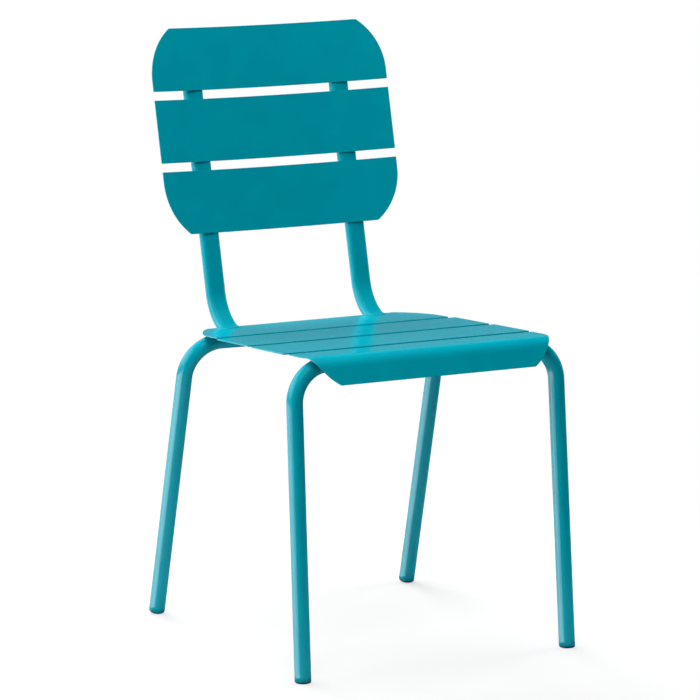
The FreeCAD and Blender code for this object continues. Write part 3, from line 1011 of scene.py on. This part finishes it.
def notch_line(seat, back, sheet, tube):
    """Line round an upright where it comes up through the rear slat, across and along.

    Where the tube has turned by a, the slat's top crosses its section at a depth
    d = (t + h - R (1 - cos a)) / cos a from its centre line, (R - d) sin a past the start of
    the bend and flat + sqrt(h² - d²) from its middle. The line runs up one side, across the
    front, where d = h, and down the other."""
    full_turn = math.pi / 2.0 - sheet.back_lean + seat.slope
    bend = tube.upright_bend_radius
    start = upright_root(seat, back, sheet, tube) - bend * math.tan(full_turn / 2.0)
    half = tube.oval_half_depth
    cover = sheet.thickness + half
    first_turn = math.acos((bend - cover) / (bend - half))
    turns = np.linspace(first_turn, NOTCH_TURN, 400)
    depth = np.clip((cover - bend * (1.0 - np.cos(turns))) / np.cos(turns), -half, half)
    past = (bend - depth) * np.sin(turns)
    kept = past < seat.rear_edge("seat_slat_rear") - start
    side = (tube.oval_flat + np.sqrt(half ** 2 - depth ** 2))[kept]
    past = past[kept]
    front = np.linspace(-tube.oval_flat, tube.oval_flat, 40)[1:-1]
    across = np.concatenate([-side[::-1], front, side])
    along = start + np.concatenate([past[::-1], np.full(len(front), past[0]), past])
    return across, along


def notch_beads(seat, back, sheet, tube, fittings):
    """Beads round the uprights where they come up through the rear slat."""
    across, along = even_steps(*notch_line(seat, back, sheet, tube), 180)
    level = -NOTCH_SINK * fittings.bead_radius
    radius = NOTCH_SHARE * fittings.joint_bead_radius
    lines = [seat.points(side * upright_x() + across, along, level) for side in SIDES.values()]
    return [bead_shell(line, seat.up, radius, fittings) for line in lines]


class CHAIR_OT_weld_beads(bpy.types.Operator):
    """Make the weld beads, one piece for each family of joints"""

    bl_idname = "chair.weld_beads"
    bl_label = "Weld beads"

    def execute(self, context):
        sheet = context.scene.chair_sheet
        tube = context.scene.chair_tube
        fittings = context.scene.chair_fittings
        seat = SeatPlane()
        back = BackPlane(sheet)
        families = {
            "seat_rail_welds": rail_beads(seat, sheet, tube, fittings),
            "crossbar_welds": crossbar_beads(seat, sheet, tube, fittings),
            "back_slat_welds": back_beads(back, sheet, tube, fittings),
            "frame_joint_welds": joint_beads(seat, sheet, tube, fittings),
            "upright_notch_welds": notch_beads(seat, back, sheet, tube, fittings)}
        for node, shells in families.items():
            add_piece(node + "_beads", shells, COAT, [node])
        return {"FINISHED"}


# Finishes

def new_material(name):
    """The emptied node tree of a new material."""
    material = bpy.data.materials.new(name)
    material.use_nodes = True
    material.node_tree.nodes.clear()
    return material.node_tree


def noise_on_object(tree, size, detail):
    """Noise on the piece's own coordinates with features of a real size in metres."""
    place = add_node(tree, "ShaderNodeTexCoord")
    return add_node(tree, "ShaderNodeTexNoise", links={"Vector": place.outputs["Object"]},
                    values={"Scale": 1.0 / size, "Detail": detail, "Roughness": 0.5})


def powder_coat(finish):
    """Polyester powder sprayed dry on steel and baked.

    It melts into a satin skin with a faint orange peel, so highlights have soft edges, and
    the colour deepens a little where the skin is thicker. The real waves are finer than a
    pixel of the render, so they are drawn a little coarser."""
    tree = new_material(COAT[0])
    mottle = noise_on_object(tree, finish.mottle_size, 3.0)
    blend = add_node(tree, "ShaderNodeMapRange", links={"Value": mottle.outputs["Fac"]},
                     values=MOTTLE_LIMITS)
    tint = add_node(tree, "ShaderNodeMix", data_type="RGBA",
                    links={0: blend.outputs["Result"]},
                    values={6: (*finish.coat_colour, 1.0), 7: (*finish.coat_deep_colour, 1.0)})
    gloss = add_node(tree, "ShaderNodeMapRange", links={"Value": mottle.outputs["Fac"]},
                     values={**GLOSS_LIMITS, "To Min": finish.coat_roughness - GLOSS_SPREAD,
                             "To Max": finish.coat_roughness + GLOSS_SPREAD})
    peel = noise_on_object(tree, finish.peel_size, 1.0)
    bump = add_node(tree, "ShaderNodeBump", links={"Height": peel.outputs["Fac"]},
                    values={"Strength": 1.0, "Distance": finish.peel_depth})
    shader = add_node(tree, "ShaderNodeBsdfPrincipled",
                      links={"Base Color": tint.outputs[2], "Roughness": gloss.outputs["Result"],
                             "Normal": bump.outputs["Normal"]},
                      values={"IOR": POLYMER_IOR, "Specular IOR Level": finish.coat_specular})
    add_node(tree, "ShaderNodeOutputMaterial", links={"Surface": shader.outputs["BSDF"]})


def glide_plastic(finish):
    """Polyethylene moulded black in a spark-eroded mould, which leaves a fine matt grain."""
    tree = new_material(PLASTIC[0])
    grain = noise_on_object(tree, finish.grain_size, 2.0)
    bump = add_node(tree, "ShaderNodeBump", links={"Height": grain.outputs["Fac"]},
                    values={"Strength": 1.0, "Distance": finish.grain_depth})
    tone = add_node(tree, "ShaderNodeMapRange", links={"Value": grain.outputs["Fac"]},
                    values=GRAIN_TONES)
    black = add_node(tree, "ShaderNodeVectorMath", operation="SCALE",
                     links={"Scale": tone.outputs["Result"]},
                     values={0: tuple(finish.plastic_colour)})
    shader = add_node(tree, "ShaderNodeBsdfPrincipled",
                      links={"Base Color": black.outputs["Vector"],
                             "Normal": bump.outputs["Normal"]},
                      values={"IOR": POLYMER_IOR, "Roughness": finish.plastic_roughness})
    add_node(tree, "ShaderNodeOutputMaterial", links={"Surface": shader.outputs["BSDF"]})


class CHAIR_OT_finishes(bpy.types.Operator):
    """Make the powder coat and the plastic"""

    bl_idname = "chair.finishes"
    bl_label = "Finishes"

    def execute(self, context):
        finish = context.scene.chair_finish
        powder_coat(finish)
        glide_plastic(finish)
        return {"FINISHED"}


# Studio

def on_rays(tree, *kinds):
    """One for rays of any of these kinds, nought for others."""
    path = add_node(tree, "ShaderNodeLightPath")
    found = path.outputs[kinds[0]]
    for kind in kinds[1:]:
        found = add_node(tree, "ShaderNodeMath", operation="MAXIMUM",
                         links={0: found, 1: path.outputs[kind]}).outputs[0]
    return found


def window(tree, value, low, high, blur):
    """One where the value lies between two limits, nought outside, over a soft edge."""
    edges = {}
    for socket, (limit, before, after) in enumerate(((low, 0.0, 1.0), (high, 1.0, 0.0))):
        edge = add_node(tree, "ShaderNodeMapRange", interpolation_type="SMOOTHSTEP",
                        links={"Value": value},
                        values={"From Min": limit - blur, "From Max": limit + blur,
                                "To Min": before, "To Max": after})
        edges[socket] = edge.outputs["Result"]
    return add_node(tree, "ShaderNodeMath", operation="MULTIPLY", links=edges).outputs[0]


def floor_paint(studio):
    """Matt white paint, which fades to nothing at the floor's rim.

    The camera sees a flat white with a share of the real light and shadow. The chair gets the
    light that such paint throws back."""
    tree = new_material(FLOOR_PAINT)
    seen = on_rays(tree, "Is Camera Ray", "Is Glossy Ray", "Is Transmission Ray")
    white = add_node(tree, "ShaderNodeEmission", values={"Strength": studio.floor_white})
    shade = add_node(tree, "ShaderNodeBsdfDiffuse", values={"Color": grey(studio.floor_shade)})
    shaded = add_node(tree, "ShaderNodeAddShader", links={0: white.outputs[0], 1: shade.outputs[0]})
    paint = add_node(tree, "ShaderNodeBsdfDiffuse", values={"Color": grey(studio.floor_bounce)})
    mix = add_node(tree, "ShaderNodeMixShader",
                   links={0: seen, 1: paint.outputs[0], 2: shaded.outputs[0]})
    place = add_node(tree, "ShaderNodeTexCoord")
    distance = add_node(tree, "ShaderNodeVectorMath", operation="LENGTH",
                        links={0: place.outputs["Object"]})
    fade = add_node(tree, "ShaderNodeMapRange", interpolation_type="SMOOTHSTEP",
                    links={"Value": distance.outputs["Value"]},
                    values={"From Min": FADE_START * studio.floor_radius,
                            "From Max": studio.floor_radius})
    clear = add_node(tree, "ShaderNodeBsdfTransparent")
    rim = add_node(tree, "ShaderNodeMixShader",
                   links={0: fade.outputs["Result"], 1: mix.outputs[0], 2: clear.outputs[0]})
    add_node(tree, "ShaderNodeOutputMaterial", links={"Surface": rim.outputs[0]})


def studio_floor(studio):
    """Floor that fades into the white room. The coat mirrors the room and not the floor."""
    half = FLOOR_MARGIN * studio.floor_radius
    corners = [(-half, -half, 0.0), (half, -half, 0.0), (half, half, 0.0), (-half, half, 0.0)]
    mesh = bpy.data.meshes.new("studio_floor")
    mesh.from_pydata(corners, [], [(0, 1, 2, 3)])
    floor = bpy.data.objects.new("studio_floor", mesh)
    bpy.context.scene.collection.objects.link(floor)
    floor.visible_glossy = False
    floor_paint(studio)
    mesh.materials.append(bpy.data.materials[FLOOR_PAINT])


def room_light(tree, studio):
    """Brightness of the room in each direction: the sum of its parts, dark elsewhere."""
    place = add_node(tree, "ShaderNodeTexCoord")
    parts = add_node(tree, "ShaderNodeSeparateXYZ", links={0: place.outputs["Generated"]})
    turn = add_node(tree, "ShaderNodeMath", operation="ARCTAN2",
                    links={0: parts.outputs["X"], 1: parts.outputs["Y"]}).outputs[0]
    height = add_node(tree, "ShaderNodeMath", operation="ARCSINE",
                      links={0: parts.outputs["Z"]}).outputs[0]
    total = add_node(tree, "ShaderNodeValue").outputs[0]
    total.default_value = 0.0
    for name, (turns, heights, blur) in ROOM_PARTS.items():
        across = window(tree, turn, *(math.radians(limit) for limit in (*turns, blur)))
        upright = window(tree, height, *(math.radians(limit) for limit in (*heights, blur)))
        both = add_node(tree, "ShaderNodeMath", operation="MULTIPLY", links={0: across, 1: upright})
        total = add_node(tree, "ShaderNodeMath", operation="MULTIPLY_ADD",
                         links={0: both.outputs[0], 2: total},
                         values={1: getattr(studio, name)}).outputs[0]
    return total


def studio_room(studio):
    """Room that the coat mirrors: a backdrop, a low bounce board and a card on the left.

    The rest is dark, so that the coat keeps its colour where it faces the camera. The camera
    sees plain white all round."""
    world = bpy.data.worlds.new("studio_room")
    bpy.context.scene.world = world
    world.use_nodes = True
    tree = world.node_tree
    tree.nodes.clear()
    light = add_node(tree, "ShaderNodeBackground", links={"Strength": room_light(tree, studio)},
                     values={"Color": grey(1.0)})
    white = add_node(tree, "ShaderNodeBackground", values={"Color": grey(1.0), "Strength": 1.0})
    seen = on_rays(tree, "Is Camera Ray", "Is Transmission Ray")
    mix = add_node(tree, "ShaderNodeMixShader",
                   links={0: seen, 1: light.outputs[0], 2: white.outputs[0]})
    add_node(tree, "ShaderNodeOutputWorld", links={"Surface": mix.outputs[0]})


def softbox(name, turn, height, distance, level):
    """Square lamp that faces the chair and lights a white card facing it to this level.

    It has no mirror image in the coat, which shows the room instead."""
    turn = math.radians(turn)
    height = math.radians(height)
    out = Vector((-math.sin(turn) * math.cos(height), -math.cos(turn) * math.cos(height),
                  math.sin(height)))
    light = bpy.data.lights.new(name, "AREA")
    light.shape = "SQUARE"
    light.size = SOFTBOX_WIDTH
    light.energy = 4.0 * math.pi * level * distance ** 2
    lamp = bpy.data.objects.new(name, light)
    lamp.location = LAMP_AIM + out * distance
    lamp.rotation_euler = out.to_track_quat("Z", "Y").to_euler()
    lamp.visible_camera = False
    lamp.visible_glossy = False
    bpy.context.scene.collection.objects.link(lamp)


def studio_camera(studio):
    """Camera that looks at the chair from its front left, slightly from above."""
    camera = bpy.data.objects.new("studio_camera", bpy.data.cameras.new("studio_camera"))
    camera.data.sensor_width = SENSOR_WIDTH
    camera.data.lens = studio.camera_lens
    camera.location = studio.camera_place
    camera.rotation_euler = (math.pi / 2.0 - studio.camera_pitch, 0.0, -studio.camera_turn)
    bpy.context.scene.collection.objects.link(camera)
    bpy.context.scene.camera = camera


class CHAIR_OT_stage(bpy.types.Operator):
    """Make the floor, the room, the lights and the camera"""

    bl_idname = "chair.stage"
    bl_label = "Studio"

    def execute(self, context):
        studio = context.scene.chair_studio
        studio_camera(studio)
        studio_floor(studio)
        studio_room(studio)
        for name, place in SOFTBOXES.items():
            softbox(name + "_softbox", *place, getattr(studio, name + "_light"))
        context.scene.view_settings.view_transform = "Standard"
        return {"FINISHED"}


class CHAIR_PT_panel(bpy.types.Panel):
    """Lists the steps that make the chair and the values that they read"""

    bl_idname = "CHAIR_PT_panel"
    bl_label = "Garden chair"
    bl_space_type = "VIEW_3D"
    bl_region_type = "UI"
    bl_category = "Chair"

    def draw(self, context):
        for operator in OPERATORS:
            self.layout.operator(operator.bl_idname)
        for name, group in GROUPS.items():
            box = self.layout.box()
            box.label(text=group.__doc__)
            for prop in group.__annotations__:
                box.prop(getattr(context.scene, name), prop)


OPERATORS = (CHAIR_OT_finishes, CHAIR_OT_seat_slats, CHAIR_OT_back_slats, CHAIR_OT_leg_arches,
             CHAIR_OT_rails_and_uprights, CHAIR_OT_glides_and_caps, CHAIR_OT_weld_beads,
             CHAIR_OT_stage)
CLASSES = (*GROUPS.values(), *OPERATORS, CHAIR_PT_panel)


def register():
    for item in CLASSES:
        bpy.utils.register_class(item)
    for name, group in GROUPS.items():
        setattr(bpy.types.Scene, name, bpy.props.PointerProperty(type=group))


def unregister():
    for name in GROUPS:
        delattr(bpy.types.Scene, name)
    for item in reversed(CLASSES):
        bpy.utils.unregister_class(item)


def main():
    register()
    bpy.ops.chair.finishes()
    bpy.ops.chair.seat_slats()
    bpy.ops.chair.back_slats()
    bpy.ops.chair.leg_arches()
    bpy.ops.chair.rails_and_uprights()
    bpy.ops.chair.glides_and_caps()
    bpy.ops.chair.weld_beads()
    bpy.ops.chair.stage()


if __name__ == "__main__":
    main()
